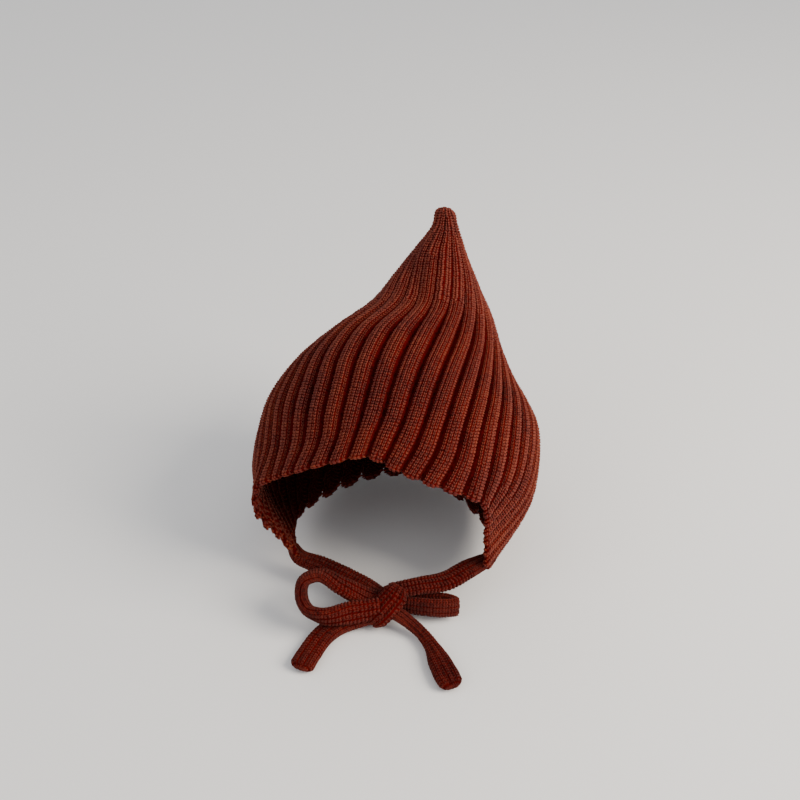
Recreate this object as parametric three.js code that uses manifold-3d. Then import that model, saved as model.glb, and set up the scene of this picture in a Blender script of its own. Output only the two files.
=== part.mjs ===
// A baby's elf hat in rib knit: a hooded crown that runs up and back to one soft peak, and two
// knitted ties that hold it under the chin in a bow. Millimetres, +Z up, the face opening
// towards -Y. The hat keeps the form it has when it is worn, and its origin is the place on the
// inside of the crown that bears on the head.
import * as THREE from 'three';
import Module from 'manifold-3d';

// Driving dimensions
const RIBS = 46; // ribs round the crown
const LEAN = 35; // degrees that the crown's own axis leans back from upright
const WALL = 2.6; // from the middle height of the ribs in to the plain inside
const RIB_HEIGHT = 2.6; // trough to crest, where a rib has its full width
const FULL_RIB = 11; // width of a full rib
const TIE_WIDTH = 11.5;
const TIE_THICK = 5.8;
const TIE_SIDES = 10;
const GAP = 0.3; // air between pieces that are sewn or knotted together
const HEAD_SEAT = new THREE.Vector3(-2, 74, 121.9); // above the table that the hat stood on

// Across one rib: share of its width, and how high it stands
const RIB_PROFILE = [
  { share: 0, height: 0 },
  { share: 0.2, height: 0.78 },
  { share: 0.5, height: 1 },
  { share: 0.8, height: 0.78 },
];
const INNER_PROFILE = [RIB_PROFILE[0], RIB_PROFILE[2]];

// The edge of the hat, measured about the leaning axis. rib counts from the middle of the brow
// towards +X, around is in degrees the same way, along is the distance up the axis.
const AXIS = { across: -2, deep: 32 };
const RIM = [
  { rib: 0, around: -1, along: 84, radius: 77 },
  { rib: 2, around: 11.2, along: 78.5, radius: 77 },
  { rib: 4, around: 25.5, along: 73, radius: 78 },
  { rib: 6, around: 43, along: 67, radius: 76 },
  { rib: 8, around: 50, along: 58, radius: 72 },
  { rib: 10.5, around: 57, along: 46, radius: 66 },
  { rib: 13.5, around: 73, along: 31, radius: 59 },
  { rib: 18, around: 112, along: 46, radius: 56 },
  { rib: 23, around: 180, along: 68, radius: 53 },
  { rib: 28, around: 248, along: 45, radius: 53 },
  { rib: 32, around: 300, along: 26, radius: 48 },
  { rib: 34, around: 305, along: 34, radius: 58 },
  { rib: 36.5, around: 304, along: 46, radius: 72.5 },
  { rib: 38.5, around: 307, along: 60, radius: 76.5 },
  { rib: 40, around: 319, along: 67, radius: 77 },
  { rib: 42, around: 331.3, along: 72.5, radius: 78.5 },
  { rib: 44, around: 345.1, along: 79, radius: 78 },
];

// The fullest line of the hat, a little way in from its edge
const BELLY = [
  { rib: 0, around: 0.8, along: 94, radius: 75.5 },
  { rib: 3, around: 22.8, along: 88, radius: 75.5 },
  { rib: 6, around: 46.5, along: 82, radius: 75 },
  { rib: 8, around: 61, along: 78, radius: 74.2 },
  { rib: 10.5, around: 76, along: 73, radius: 74 },
  { rib: 13.5, around: 97, along: 66, radius: 73.2 },
  { rib: 18, around: 131, along: 72, radius: 72 },
  { rib: 23, around: 180, along: 84, radius: 71 },
  { rib: 28, around: 229, along: 72, radius: 71 },
  { rib: 32, around: 266, along: 64, radius: 70.5 },
  { rib: 34.5, around: 285, along: 68, radius: 72 },
  { rib: 37, around: 299, along: 75, radius: 73.2 },
  { rib: 40, around: 318.5, along: 82, radius: 73.6 },
  { rib: 43, around: 339.7, along: 88, radius: 75 },
];

// Oval sections square to the axis, from the crown to the peak. turn is in degrees, and
// spread says how many times wider than even the ribs of the front are.
const SECTIONS = [
  { along: 102, across: 0.6, deep: 31, width: 70.5, depth: 71.5, turn: 0.4, spread: 1.04 },
  { along: 116, across: 0.4, deep: 30, width: 63.8, depth: 63.5, turn: 2, spread: 1.2 },
  { along: 130, across: 0.5, deep: 29.5, width: 54.1, depth: 53, turn: 4, spread: 1.5 },
  { along: 145, across: 4.2, deep: 30, width: 42.8, depth: 41, turn: 5, spread: 1.9 },
  { along: 160, across: 9.8, deep: 30.5, width: 31.1, depth: 29, turn: 7, spread: 2.1 },
  { along: 175, across: 10.7, deep: 31, width: 22, depth: 18.6, turn: 6.5, spread: 2.8 },
  { along: 187, across: 11.2, deep: 31.7, width: 15.5, depth: 12.7, turn: 5, spread: 3.4 },
  { along: 203, across: 12.9, deep: 33, width: 7.2, depth: 6.7, turn: 4, spread: 3.2 },
  { along: 212, across: 11.8, deep: 34, width: 4.8, depth: 4.4, turn: 4, spread: 2.4 },
];

// A soft crease across the left of the peak, for some of the sections: its place round the axis
// in degrees, and how far it presses the section in as a share
const CREASE_WIDTH = 24; // degrees to each side
const CREASE = [
  { along: 160, around: -12, fold: 0.09 },
  { along: 175, around: -30, fold: 0.15 },
  { along: 187, around: -52, fold: 0.12 },
];
const TIP = { along: 214.8, across: 11.4, deep: 34 };
const INNER_TIP = { along: 199, across: 12.5, deep: 32.7 }; // the peak is solid past this

// Steps between one line above and the next: edge, belly, the sections, tip
const OUTER_STEPS = [4, 2, 1, 1, 2, 2, 1, 1, 1, 1];
const INNER_STEPS = [3, 2, 1, 1, 1, 1, 1, 1];
const LINES = SECTIONS.length + 2;
const RIB_NUDGE = 0.1; // to a neighbour, in ribs, for the surface's normal
const ROW_NUDGE = 0.004; // the same along a rib line, as a share of it

// Directions: up the crown's axis, in through its depth, the way the bow faces, and up
const lean = THREE.MathUtils.degToRad(LEAN);
const ALONG = new THREE.Vector3(0, Math.sin(lean), Math.cos(lean));
const DEEP = new THREE.Vector3(0, Math.cos(lean), -Math.sin(lean));
const BOW_FACE = new THREE.Vector3(0.14, -0.81, 0.57).normalize();
const UP = new THREE.Vector3(0, 0, 1);

// Routes of the two ties, beside the hat. turn 0 lays a strap's flat side the way that its
// piece faces, and 90 sets it on edge. width and thick are shares of the strap's.
const KNOT = [
  { x: 12.9, y: 6, z: 20.2, turn: 0, width: 0.7, thick: 1.1 },
  { x: 11.1, y: 2.8, z: 17.5, turn: 0, width: 1.15, thick: 2 },
  { x: 7.2, y: -0.4, z: 12.5, turn: 0, width: 1.25, thick: 2.3 },
  { x: 2.8, y: -3.8, z: 7.5, turn: 0, width: 1.15, thick: 2 },
  { x: 0.4, y: -5.4, z: 4.8, turn: 0, width: 0.7, thick: 1.1 },
];
const LOOP_LEFT = [
  { x: 5.9, y: 0.9, z: 12, turn: 30, width: 0.85, thick: 0.95 },
  { x: -4.8, y: 0.7, z: 15.6, turn: 43, width: 0.95, thick: 1 },
  { x: -15.4, y: -1, z: 22.6, turn: 63, width: 1, thick: 1 },
  { x: -25.6, y: 0.3, z: 26.5, turn: 86, width: 1, thick: 1.05 },
  { x: -32.9, y: -3.1, z: 24.5, turn: 90, width: 1, thick: 1.1 },
  { x: -33.2, y: -8.1, z: 18.5, turn: 90, width: 1, thick: 1.1 },
  { x: -29.1, y: -12.2, z: 14.5, turn: 78, width: 1, thick: 1.1 },
  { x: -20.5, y: -13.8, z: 13.3, turn: 52, width: 1.12, thick: 1.05 },
  { x: -9, y: -9.6, z: 13.4, turn: 32, width: 1.18, thick: 1 },
  { x: 4.8, y: -4.2, z: 13.9, turn: 30, width: 1, thick: 0.95 },
];
const LOOP_RIGHT = [
  { x: 7.6, y: 3.0, z: 11, turn: 90, width: 0.8, thick: 0.7 },
  { x: 15.5, y: 3.4, z: 10.6, turn: 90, width: 0.9, thick: 0.66 },
  { x: 25.5, y: 3.6, z: 10.4, turn: 90, width: 0.95, thick: 0.62 },
  { x: 34.6, y: 4.6, z: 10.1, turn: 90, width: 1, thick: 0.64 },
  { x: 40.9, y: 7.4, z: 9.7, turn: 90, width: 1, thick: 0.66 },
  { x: 35.4, y: 9.8, z: 9.3, turn: 90, width: 1, thick: 0.64 },
  { x: 25.6, y: 8.6, z: 9.3, turn: 90, width: 0.95, thick: 0.62 },
  { x: 15.5, y: 7.4, z: 9.9, turn: 90, width: 0.9, thick: 0.66 },
  { x: 7.6, y: 5.0, z: 10.6, turn: 90, width: 0.8, thick: 0.7 },
];
const TAIL_LEFT = [
  { x: 4.8, y: -1.6, z: 7.6, turn: 0, width: 0.8, thick: 0.95 },
  { x: -5.3, y: -3.8, z: 4.4, turn: 0, width: 0.9, thick: 0.95 },
  { x: -15.2, y: -8.9, z: 3.3, turn: 0, width: 1, thick: 1 },
  { x: -21.2, y: -17.4, z: 3.2, turn: 0, width: 1, thick: 1 },
  { x: -24.8, y: -29.7, z: 3.2, turn: 0, width: 1.02, thick: 1 },
  { x: -26.9, y: -39.6, z: 3.3, turn: 0, width: 1.05, thick: 1.05 },
];
const TAIL_RIGHT = [
  { x: 8.5, y: -1.5, z: 11.5, turn: 25, width: 0.6, thick: 0.85 },
  { x: 14.6, y: -2.8, z: 9.0, turn: 28, width: 0.6, thick: 0.8 },
  { x: 19.8, y: -4.4, z: 6.5, turn: 30, width: 0.55, thick: 0.8 },
  { x: 26, y: -7.8, z: 4.3, turn: 30, width: 0.52, thick: 0.8 },
  { x: 32.2, y: -15, z: 3.6, turn: 15, width: 0.62, thick: 0.85 },
  { x: 36.8, y: -22.6, z: 3.3, turn: 0, width: 0.95, thick: 0.95 },
  { x: 41.4, y: -30.5, z: 3.3, turn: 0, width: 1.06, thick: 1 },
  { x: 46, y: -38.2, z: 3.3, turn: 0, width: 0.98, thick: 1 },
];
const STRAP_LEFT = [
  { x: -41.2, y: 20.9, z: 16.8, turn: 0, width: 0.75, thick: 0.95 },
  { x: -30.5, y: 18.8, z: 15.2, turn: 0, width: 0.95, thick: 1 },
  { x: -17.4, y: 14.8, z: 13.6, turn: 0, width: 1, thick: 1 },
  { x: -4.8, y: 11, z: 11.6, turn: 0, width: 0.9, thick: 0.95 },
  { x: 4, y: 7.7, z: 9.2, turn: 0, width: 0.8, thick: 0.9 },
];
const STRAP_RIGHT = [
  { x: 50.2, y: 30.6, z: 19.2, turn: 0, width: 0.8, thick: 0.95 },
  { x: 44.4, y: 25, z: 19.1, turn: 0, width: 0.95, thick: 1 },
  { x: 34.2, y: 14.8, z: 18.6, turn: 0, width: 1, thick: 1 },
  { x: 22.1, y: 9.2, z: 19, turn: 0, width: 0.9, thick: 0.95 },
  { x: 8.2, y: 4.8, z: 17, turn: 0, width: 0.8, thick: 0.9 },
];
const STEPS_A_ROW = 3; // of a strap's route
const FULLNESS = 0.8; // 1 is a plain oval, and less fills the strap out towards its corners

// How a loose end rounds off: distance back from the end in strap thicknesses, and its size
const ROUND_END = [
  { back: 0.45, size: 0.93 },
  { back: 0.2, size: 0.76 },
  { back: 0.06, size: 0.48 },
];

const WOOL = { color: 0x7a2f1b, roughness: 0.95, metalness: 0 };
const TIE_WOOL = { color: 0x6f2a19, roughness: 0.95, metalness: 0 };

// A point from its three measures about the crown's axis
function axisPoint({ across, along, deep }) {
  return new THREE.Vector3(across, 0, 0).addScaledVector(ALONG, along).addScaledVector(DEEP, deep);
}

// Value of one column of a closed table at any rib, on a smooth curve through its rows
function closedColumn(rows, rib, column, wrap) {
  const entry = (i) => {
    const lap = Math.floor(i / rows.length);
    const row = rows[i - lap * rows.length];
    return { rib: row.rib + lap * RIBS, value: row[column] + lap * wrap };
  };
  let i = 0;
  while (i + 1 < rows.length && rows[i + 1].rib <= rib) {
    i += 1;
  }
  const [before, start, end, after] = [entry(i - 1), entry(i), entry(i + 1), entry(i + 2)];
  const span = end.rib - start.rib;
  const leave = ((end.value - before.value) / (end.rib - before.rib)) * span;
  const arrive = ((after.value - start.value) / (after.rib - start.rib)) * span;
  const t = (rib - start.rib) / span;
  const rise = t * t * (3 - 2 * t);
  return (1 - rise) * start.value + rise * end.value
    + t * (1 - t) * (1 - t) * leave - t * t * (1 - t) * arrive;
}

function pointOnTable(rows, rib) {
  const around = THREE.MathUtils.degToRad(closedColumn(rows, rib, 'around', 360));
  const radius = closedColumn(rows, rib, 'radius', 0);
  return axisPoint({
    across: AXIS.across + radius * Math.sin(around),
    along: closedColumn(rows, rib, 'along', 0),
    deep: AXIS.deep - radius * Math.cos(around),
  });
}

// What is left of a section's size at a place round the axis, where the crease presses it in
function creasedSize(along, around) {
  const crease = CREASE.find((row) => row.along === along);
  if (!crease) {
    return 1;
  }
  const aside = THREE.MathUtils.euclideanModulo(around - crease.around + 180, 360) - 180;
  return 1 - crease.fold * Math.exp(-((aside / CREASE_WIDTH) ** 2));
}

function pointOnSection(section, rib) {
  const even = (2 * Math.PI * rib) / RIBS;
  const drawn = 2 * Math.atan(section.spread * Math.tan(even / 2));
  const around = drawn + THREE.MathUtils.degToRad(section.turn);
  const size = creasedSize(section.along, THREE.MathUtils.radToDeg(around));
  return axisPoint({
    across: section.across + size * section.width * Math.sin(around),
    along: section.along,
    deep: section.deep - size * section.depth * Math.cos(around),
  });
}

// The line that one rib follows, from the edge of the hat to its tip
function ribLine(rib) {
  const turned = (rib + RIBS) % RIBS;
  const points = [pointOnTable(RIM, turned), pointOnTable(BELLY, turned)];
  SECTIONS.forEach((section) => points.push(pointOnSection(section, turned)));
  points.push(axisPoint(TIP));
  return new THREE.CatmullRomCurve3(points, false, 'centripetal');
}

// Rib lines at each place of a rib's profile, with a neighbour to each side for the normals
function knitColumns(profile) {
  const columns = [];
  for (let rib = 0; rib < RIBS; rib += 1) {
    profile.forEach(({ share, height }) => {
      const at = rib + share;
      columns.push({
        height,
        line: ribLine(at),
        last: ribLine(at - RIB_NUDGE),
        next: ribLine(at + RIB_NUDGE),
      });
    });
  }
  return columns;
}

// Where the rows of a surface cross the rib lines, as shares of the whole line
function rowStations(steps) {
  const stations = [];
  steps.forEach((count, line) => {
    for (let step = 0; step < count; step += 1) {
      stations.push((line + step / count) / LINES);
    }
  });
  stations.push(steps.length / LINES);
  return stations;
}

// Rows of points on the rib lines, each moved out along the normal by lift, which takes the
// local width of a rib and the column's height. The first row also moves out past the edge
// of the hat by reach.
function knitRows(columns, stations, lift, reach) {
  return stations.map((station) => columns.map(({ height, line, last, next }) => {
    const ahead = line.getPoint(station + ROW_NUDGE);
    const behind = line.getPoint(Math.max(station - ROW_NUDGE, 0));
    const sideways = next.getPoint(station).sub(last.getPoint(station));
    const normal = sideways.clone().cross(ahead.sub(behind)).normalize();
    const ribWidth = sideways.length() / (2 * RIB_NUDGE);
    const place = line.getPoint(station).addScaledVector(normal, lift(ribWidth, height));
    return station > 0 ? place : place.addScaledVector(line.getTangent(0), -reach);
  }));
}

// Collects points and triangles for one closed surface
function meshBuilder() {
  const positions = [];
  const faces = [];
  const point = (place) => {
    positions.push(place.x, place.y, place.z);
    return positions.length / 3 - 1;
  };
  return {
    point,
    ring: (places) => places.map(point),
    face: (a, b, c) => faces.push(a, b, c),
    geometry: () => new THREE.BufferGeometry()
      .setAttribute('position', new THREE.Float32BufferAttribute(positions, 3))
      .setIndex(faces),
  };
}

// A strip between two closed rings, the second of which has as many points or half as many
function joinRings(mesh, first, second) {
  const ratio = first.length / second.length;
  first.forEach((here, i) => {
    const next = first[(i + 1) % first.length];
    const over = second[Math.floor(i / ratio)];
    const overNext = second[Math.floor((i + 1) / ratio) % second.length];
    mesh.face(here, next, over);
    if (over !== overNext) {
      mesh.face(next, overNext, over);
    }
  });
}

function closeRing(mesh, ring, pole) {
  ring.forEach((here, i) => mesh.face(here, ring[(i + 1) % ring.length], pole));
}

// The crown: ribbed outside, plain inside, open at the face and the neck. It is larger all
// round by grow.
function hatBody(grow) {
  const mesh = meshBuilder();
  const ribLift = (ribWidth, height) =>
    (height - 0.5) * RIB_HEIGHT * Math.min(1, ribWidth / FULL_RIB) + grow;
  const wallLift = () => -WALL - grow;
  const outer = knitRows(knitColumns(RIB_PROFILE), rowStations(OUTER_STEPS), ribLift, grow)
    .map((row) => mesh.ring(row));
  const inner = knitRows(knitColumns(INNER_PROFILE), rowStations(INNER_STEPS), wallLift, grow)
    .map((row) => mesh.ring(row));
  outer.slice(1).forEach((row, i) => joinRings(mesh, outer[i], row));
  closeRing(mesh, outer.at(-1), mesh.point(axisPoint(TIP)));
  inner.slice(1).forEach((row, i) => joinRings(mesh, row, inner[i]));
  closeRing(mesh, inner.at(-1).toReversed(), mesh.point(axisPoint(INNER_TIP)));
  joinRings(mesh, outer[0].toReversed(), inner[0].toReversed());
  return mesh.geometry();
}

// Value of one column of a strap's route, straight from row to row
function routeColumn(route, share, column) {
  const at = share * (route.length - 1);
  const i = Math.min(Math.floor(at), route.length - 2);
  return THREE.MathUtils.lerp(route[i][column], route[i + 1][column], at - i);
}

function squareOff(value) {
  return Math.sign(value) * Math.abs(value) ** FULLNESS;
}

// One ring of a strap's outline, square to its route
function strapRing(route, curve, { share, size }, faces, grow) {
  const along = curve.getTangent(share);
  const across = faces.clone().cross(along).normalize();
  const flat = along.clone().cross(across).normalize();
  const turn = THREE.MathUtils.degToRad(routeColumn(route, share, 'turn'));
  const halfWidth = (size * TIE_WIDTH * routeColumn(route, share, 'width')) / 2 + grow;
  const halfThick = (size * TIE_THICK * routeColumn(route, share, 'thick')) / 2 + grow;
  const middle = curve.getPoint(share).addScaledVector(along, grow * (2 * share - 1));
  const ring = [];
  for (let side = 0; side < TIE_SIDES; side += 1) {
    const angle = (2 * Math.PI * side) / TIE_SIDES;
    const outline = new THREE.Vector2(squareOff(Math.cos(angle)), squareOff(Math.sin(angle)));
    outline.multiply(new THREE.Vector2(halfWidth, halfThick));
    outline.rotateAround(new THREE.Vector2(), turn);
    ring.push(middle.clone().addScaledVector(across, outline.x).addScaledVector(flat, outline.y));
  }
  return ring;
}

// Rings of a strap as shares of its route, with the round end that a loose strap has
function strapStations(route, curve, loose) {
  const count = STEPS_A_ROW * (route.length - 1);
  const stations = Array.from({ length: count + 1 }, (_, step) => ({ share: step / count, size: 1 }));
  if (!loose) {
    return stations;
  }
  const endShare = (back) => curve.getUtoTmapping(1 - (back * TIE_THICK) / curve.getLength());
  const end = ROUND_END.map(({ back, size }) => ({ share: endShare(back), size }));
  return [...stations.filter(({ share }) => share < end[0].share), ...end];
}

// A strap along its route, its flat side towards faces, and larger all round by grow
function strap(route, faces, { loose = false, grow = 0 } = {}) {
  const mesh = meshBuilder();
  const places = route.map(({ x, y, z }) => new THREE.Vector3(x, y, z));
  const curve = new THREE.CatmullRomCurve3(places, false, 'centripetal');
  const rings = strapStations(route, curve, loose)
    .map((station) => mesh.ring(strapRing(route, curve, station, faces, grow)));
  const startPole = curve.getPoint(0).addScaledVector(curve.getTangent(0), -grow);
  const endPole = curve.getPoint(1).addScaledVector(curve.getTangent(1), grow);
  rings.slice(1).forEach((ring, i) => joinRings(mesh, rings[i], ring));
  closeRing(mesh, rings.at(-1), mesh.point(endPole));
  closeRing(mesh, rings[0].toReversed(), mesh.point(startPole));
  return mesh.geometry();
}

const wasm = await Module();
wasm.setup();

function toSolid(geometry) {
  return new wasm.Manifold(new wasm.Mesh({
    numProp: 3,
    vertProperties: geometry.getAttribute('position').array,
    triVerts: new Uint32Array(geometry.getIndex().array),
  }));
}

function toGeometry(solid) {
  const { vertProperties, triVerts } = solid.getMesh();
  return new THREE.BufferGeometry()
    .setAttribute('position', new THREE.BufferAttribute(vertProperties, 3))
    .setIndex(new THREE.BufferAttribute(triVerts, 1));
}

// Cuts a piece back where the given solids are
function cutBack(geometry, solids) {
  return toGeometry(solids.reduce((left, solid) => left.subtract(solid), toSolid(geometry)));
}

function piece(name, geometry, look) {
  const mesh = new THREE.Mesh(geometry, new THREE.MeshStandardMaterial(look));
  mesh.geometry.computeVertexNormals();
  mesh.name = name;
  return mesh;
}

const crownRoom = toSolid(hatBody(GAP));
const knotRoom = toSolid(strap(KNOT, BOW_FACE, { grow: GAP }));

const hat = new THREE.Group();
hat.position.copy(HEAD_SEAT).negate();
hat.add(
  piece('hat_body', hatBody(0), WOOL),
  piece('tie_strap_left', cutBack(strap(STRAP_LEFT, UP), [knotRoom, crownRoom]), TIE_WOOL),
  piece('tie_strap_right', cutBack(strap(STRAP_RIGHT, UP), [knotRoom, crownRoom]), TIE_WOOL),
  piece('bow_knot', strap(KNOT, BOW_FACE), TIE_WOOL),
  piece('bow_loop_left', cutBack(strap(LOOP_LEFT, BOW_FACE), [knotRoom]), TIE_WOOL),
  piece('bow_loop_right', cutBack(strap(LOOP_RIGHT, UP), [knotRoom]), TIE_WOOL),
  piece('tie_tail_left', cutBack(strap(TAIL_LEFT, UP, { loose: true }), [knotRoom]), TIE_WOOL),
  piece('tie_tail_right', cutBack(strap(TAIL_RIGHT, UP, { loose: true }), [knotRoom]), TIE_WOOL),
);

const part = new THREE.Group();
part.add(hat);

export default part;
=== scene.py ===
# Looks of a baby's elf hat in rust-brown rib knit: the knitted wall, its stitches inside and
# out, and the two knitted ties. Lengths are in millimetres above the table until a mesh is made.
import math

import bpy
import numpy as np
from mathutils import Matrix, Vector


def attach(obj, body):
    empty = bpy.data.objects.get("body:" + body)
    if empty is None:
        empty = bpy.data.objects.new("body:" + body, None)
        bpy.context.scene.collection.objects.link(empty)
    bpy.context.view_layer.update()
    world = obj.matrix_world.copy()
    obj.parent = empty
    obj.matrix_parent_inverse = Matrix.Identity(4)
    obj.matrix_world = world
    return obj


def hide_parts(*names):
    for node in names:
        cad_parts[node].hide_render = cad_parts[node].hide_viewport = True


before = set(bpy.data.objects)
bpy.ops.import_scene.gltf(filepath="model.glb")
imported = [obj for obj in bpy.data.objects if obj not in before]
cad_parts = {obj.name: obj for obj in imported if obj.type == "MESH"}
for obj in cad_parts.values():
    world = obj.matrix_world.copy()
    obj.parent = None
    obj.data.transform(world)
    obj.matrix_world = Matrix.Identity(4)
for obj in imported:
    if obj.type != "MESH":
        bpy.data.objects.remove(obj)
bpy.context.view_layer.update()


def table(columns, *rows):
    """Rows of numbers under named columns."""
    return dict(zip(columns.split(), np.array(rows, float).T))


# The part's own sizes and tables
RIBS = 46
LEAN = math.radians(35)
WALL = 2.6
RIB_HEIGHT = 2.6
FULL_RIB = 11.0  # width at which a rib has its whole height
TIE_WIDTH = 11.5
TIE_THICK = 5.8
FULLNESS = 0.8  # power that makes a tie's section fuller than an oval
HEAD_SEAT = np.array([-2.0, 74.0, 121.9])  # the hat's origin, above the table
AXIS_ACROSS = -2.0
AXIS_DEEP = 32.0
RIM = table(
    "rib around along radius",
    (0, -1, 84, 77), (2, 11.2, 78.5, 77), (4, 25.5, 73, 78), (6, 43, 67, 76), (8, 50, 58, 72),
    (10.5, 57, 46, 66), (13.5, 73, 31, 59), (18, 112, 46, 56), (23, 180, 68, 53), (28, 248, 45, 53),
    (32, 300, 26, 48), (34, 305, 34, 58), (36.5, 304, 46, 72.5), (38.5, 307, 60, 76.5),
    (40, 319, 67, 77), (42, 331.3, 72.5, 78.5), (44, 345.1, 79, 78),
)
BELLY = table(
    "rib around along radius",
    (0, 0.8, 94, 75.5), (3, 22.8, 88, 75.5), (6, 46.5, 82, 75), (8, 61, 78, 74.2), (10.5, 76, 73, 74),
    (13.5, 97, 66, 73.2), (18, 131, 72, 72), (23, 180, 84, 71), (28, 229, 72, 71), (32, 266, 64, 70.5),
    (34.5, 285, 68, 72), (37, 299, 75, 73.2), (40, 318.5, 82, 73.6), (43, 339.7, 88, 75),
)
SECTIONS = table(
    "along across deep width depth turn spread crease fold",
    (102, 0.6, 31, 70.5, 71.5, 0.4, 1.04, 0, 0), (116, 0.4, 30, 63.8, 63.5, 2, 1.2, 0, 0),
    (130, 0.5, 29.5, 54.1, 53, 4, 1.5, 0, 0), (145, 4.2, 30, 42.8, 41, 5, 1.9, 0, 0),
    (160, 9.8, 30.5, 31.1, 29, 7, 2.1, -12, 0.09), (175, 10.7, 31, 22, 18.6, 6.5, 2.8, -30, 0.15),
    (187, 11.2, 31.7, 15.5, 12.7, 5, 3.4, -52, 0.12), (203, 12.9, 33, 7.2, 6.7, 4, 3.2, 0, 0),
    (212, 11.8, 34, 4.8, 4.4, 4, 2.4, 0, 0),
)
CREASE_WIDTH = 24.0  # degrees to each side
TIP = (11.4, 214.8, 34.0)
INNER_TIP = (12.5, 199.0, 32.7)
INNER_END = 8 / 11  # share of a rib line at which the hollow closes
KNOT = table(
    "x y z turn width thick",
    (12.9, 6, 20.2, 0, 0.7, 1.1), (11.1, 2.8, 17.5, 0, 1.15, 2), (7.2, -0.4, 12.5, 0, 1.25, 2.3),
    (2.8, -3.8, 7.5, 0, 1.15, 2), (0.4, -5.4, 4.8, 0, 0.7, 1.1),
)
LOOP_LEFT = table(
    "x y z turn width thick",
    (5.9, 0.9, 12, 30, 0.85, 0.95), (-4.8, 0.7, 15.6, 43, 0.95, 1), (-15.4, -1, 22.6, 63, 1, 1),
    (-25.6, 0.3, 26.5, 86, 1, 1.05), (-32.9, -3.1, 24.5, 90, 1, 1.1), (-33.2, -8.1, 18.5, 90, 1, 1.1),
    (-29.1, -12.2, 14.5, 78, 1, 1.1), (-20.5, -13.8, 13.3, 52, 1.12, 1.05), (-9, -9.6, 13.4, 32, 1.18, 1),
    (4.8, -4.2, 13.9, 30, 1, 0.95),
)
LOOP_RIGHT = table(
    "x y z turn width thick",
    (7.6, 3.0, 11, 90, 0.8, 0.7), (15.5, 3.4, 10.6, 90, 0.9, 0.66), (25.5, 3.6, 10.4, 90, 0.95, 0.62),
    (34.6, 4.6, 10.1, 90, 1, 0.64), (40.9, 7.4, 9.7, 90, 1, 0.66), (35.4, 9.8, 9.3, 90, 1, 0.64),
    (25.6, 8.6, 9.3, 90, 0.95, 0.62), (15.5, 7.4, 9.9, 90, 0.9, 0.66), (7.6, 5.0, 10.6, 90, 0.8, 0.7),
)
TAIL_LEFT = table(
    "x y z turn width thick",
    (4.8, -1.6, 7.6, 0, 0.8, 0.95), (-5.3, -3.8, 4.4, 0, 0.9, 0.95), (-15.2, -8.9, 3.3, 0, 1, 1),
    (-21.2, -17.4, 3.2, 0, 1, 1), (-24.8, -29.7, 3.2, 0, 1.02, 1), (-26.9, -39.6, 3.3, 0, 1.05, 1.05),
)
TAIL_RIGHT = table(
    "x y z turn width thick",
    (8.5, -1.5, 11.5, 25, 0.6, 0.85), (14.6, -2.8, 9.0, 28, 0.6, 0.8), (19.8, -4.4, 6.5, 30, 0.55, 0.8),
    (26, -7.8, 4.3, 30, 0.52, 0.8), (32.2, -15, 3.6, 15, 0.62, 0.85), (36.8, -22.6, 3.3, 0, 0.95, 0.95),
    (41.4, -30.5, 3.3, 0, 1.06, 1), (46, -38.2, 3.3, 0, 0.98, 1),
)
STRAP_LEFT = table(
    "x y z turn width thick",
    (-41.2, 20.9, 16.8, 0, 0.75, 0.95), (-30.5, 18.8, 15.2, 0, 0.95, 1), (-17.4, 14.8, 13.6, 0, 1, 1),
    (-4.8, 11, 11.6, 0, 0.9, 0.95), (4, 7.7, 9.2, 0, 0.8, 0.9),
)
STRAP_RIGHT = table(
    "x y z turn width thick",
    (50.2, 30.6, 19.2, 0, 0.8, 0.95), (44.4, 25, 19.1, 0, 0.95, 1), (34.2, 14.8, 18.6, 0, 1, 1),
    (22.1, 9.2, 19, 0, 0.9, 0.95), (8.2, 4.8, 17, 0, 0.8, 0.9),
)
UP = np.array([0.0, 0.0, 1.0])
BOW_FACE = np.array([0.14, -0.81, 0.57]) / np.linalg.norm([0.14, -0.81, 0.57])

# Sizes of the knit itself
COURSE = 1.5  # one row of stitches
COURSES_END = 0.993  # share of a rib line at which its stitches end
YARN_HIGH = 0.7  # how far a stitch stands out of the ground of the knit
INNER_YARN_HIGH = 0.5  # how far the wall's inside lies back to leave room for the stitches there
TROUGH_DEPTH = 4.4  # from the crest of a rib down to the purl column between two ribs
TROUGH_LEFT = 0.4  # share of that depth that is left where the purl columns have ended
RIB_SHAPE = (2.2, 0.8)  # powers that make a rib flat on its crest and steep at its sides
RIB_MARGIN = 0.12  # share of a rib at each side that turns down into the trough
TROUGH_COLUMN = 0.19  # width of the knit column behind a trough, as a share of a rib
PAIRING = (3.9, 2.5)  # widths of a rib between which it joins its neighbour to make one rib
JOINED_TROUGHS = (1.3, 0.4)  # depths, as shares, of the troughs beside and inside a joined rib
JOINED_WIDTHS = (0.75, 1.9)  # widths of a rib below which four ribs, and two, share a column
COLUMN_WIDTHS = (8.0, 3.8)  # least widths of a rib with four and with two stitches
PURL_END = (0.47, 0.56)  # shares of a rib line between which the purl columns are knit away
SCALLOP = 0.01  # share of a rib line by which the edge is drawn in at a trough
CORNER_SCALLOP = 0.016  # the same, added at the left corner
LEFT_CORNER = 34.5  # rib at the left corner
CORNER_RIBS = 4  # how far the deeper scallops reach to each side of it
OUTER_END = 0.988  # share of a rib line at which the outside closes to the tip
OUTER_ROWS = 90
INNER_ROWS = 44
TROUGH_HIGHLIGHT = 0.1  # share of its painted highlight that a stitch keeps at the bottom of a trough, where painted shade falls
EDGE_COURSE = 1.4
EDGE_YARN_HIGH = 0.3
INNER_RIDGE = 1.5  # how far a trough stands out on the inside
TIE_WALE = 1.95
TIE_COURSE = 1.4
TIE_YARN_HIGH = 0.45
TIE_SINK = 0.27  # how far the ground of a tie lies below its outline, under the stitches
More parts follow.
